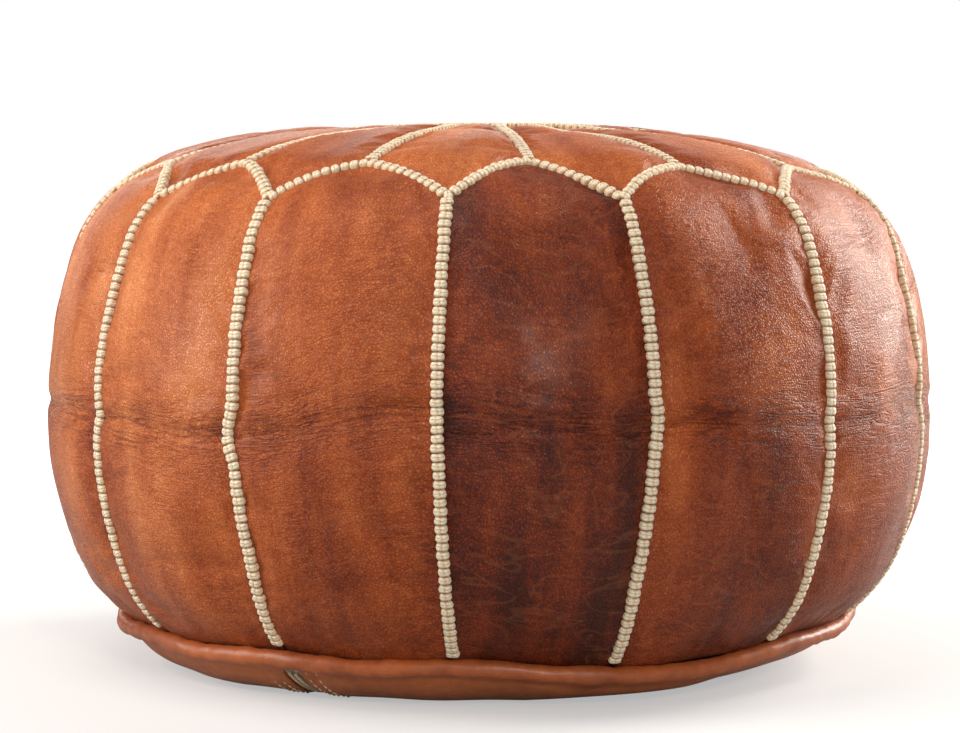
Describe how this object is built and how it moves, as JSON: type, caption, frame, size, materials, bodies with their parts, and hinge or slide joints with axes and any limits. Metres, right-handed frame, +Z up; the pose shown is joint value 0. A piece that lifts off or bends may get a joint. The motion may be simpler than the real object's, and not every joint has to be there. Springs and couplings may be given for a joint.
{
  "type": "moroccan leather pouf",
  "caption": "Round stuffed leather floor pouf: upright side panels and top petals meet in a zigzag, thread braids cover the seams, corded welt and a zipped base.",
  "frame": {"origin": "centre of the base, on the plane that the pouf stands on", "axes": "+Z up along the pouf's axis; the middle of side panel 01 faces -Y"},
  "size_m": [0.5316, 0.5268, 0.3238],
  "materials": {
    "cover_leather": "waxed cognac leather, semi-gloss, streaky dye",
    "base_leather": "smooth tan leather, satin",
    "welt_leather": "smooth tan leather, semi-gloss",
    "braid_thread": "twisted cream thread, dull sheen",
    "stitch_thread": "waxed yellow-cream thread",
    "tape_fabric": "woven beige-grey tape",
    "coil_plastic": "satin nylon",
    "slider_metal": "worn antique brass",
    "cord_fibre": "twisted cotton cord",
    "filling_fibre": "packed fibre in a plain liner"
  },
  "bodies": {
    "root": {"base_half_left": "base_leather", "base_half_right": "base_leather", "centre_patch": "cover_leather", "filling": "filling_fibre", "patch_braid": "braid_thread", "side_panel_01": "cover_leather", "side_panel_02": "cover_leather", "side_panel_03": "cover_leather", "side_panel_04": "cover_leather", "side_panel_05": "cover_leather", "side_panel_06": "cover_leather", "side_panel_07": "cover_leather", "side_panel_08": "cover_leather", "side_panel_09": "cover_leather", "side_panel_10": "cover_leather", "side_panel_11": "cover_leather", "side_panel_12": "cover_leather", "side_panel_13": "cover_leather", "side_panel_14": "cover_leather", "side_seam_braids": "braid_thread", "top_petal_01": "cover_leather", "top_petal_02": "cover_leather", "top_petal_03": "cover_leather", "top_petal_04": "cover_leather", "top_petal_05": "cover_leather", "top_petal_06": "cover_leather", "top_petal_07": "cover_leather", "top_petal_08": "cover_leather", "top_petal_09": "cover_leather", "top_petal_10": "cover_leather", "top_petal_11": "cover_leather", "top_petal_12": "cover_leather", "top_petal_13": "cover_leather", "top_petal_14": "cover_leather", "top_seam_braids": "braid_thread", "welt_cord": "cord_fibre", "welt_cover": "welt_leather", "zigzag_braid": "braid_thread", "zip_coil_left": "coil_plastic", "zip_coil_right": "coil_plastic", "zip_stitching": "stitch_thread", "zip_tape_left": "tape_fabric", "zip_tape_right": "tape_fabric"},
    "slider": {"zip_slider": "slider_metal"},
    "pull": {"zip_pull": "slider_metal"}
  },
  "joints": [
    {"name": "zip_slide", "type": "slide", "parent": "root", "child": "slider", "axis": [-0.6157, -0.788, 0], "range_m": [0, 0.24]},
    {"name": "pull_hinge", "type": "hinge", "parent": "slider", "child": "pull", "pos_m": [0.07388, 0.09456, 0.0055], "axis": [0.788, -0.6157, 0], "range_deg": [-6, 168]}
  ]
}
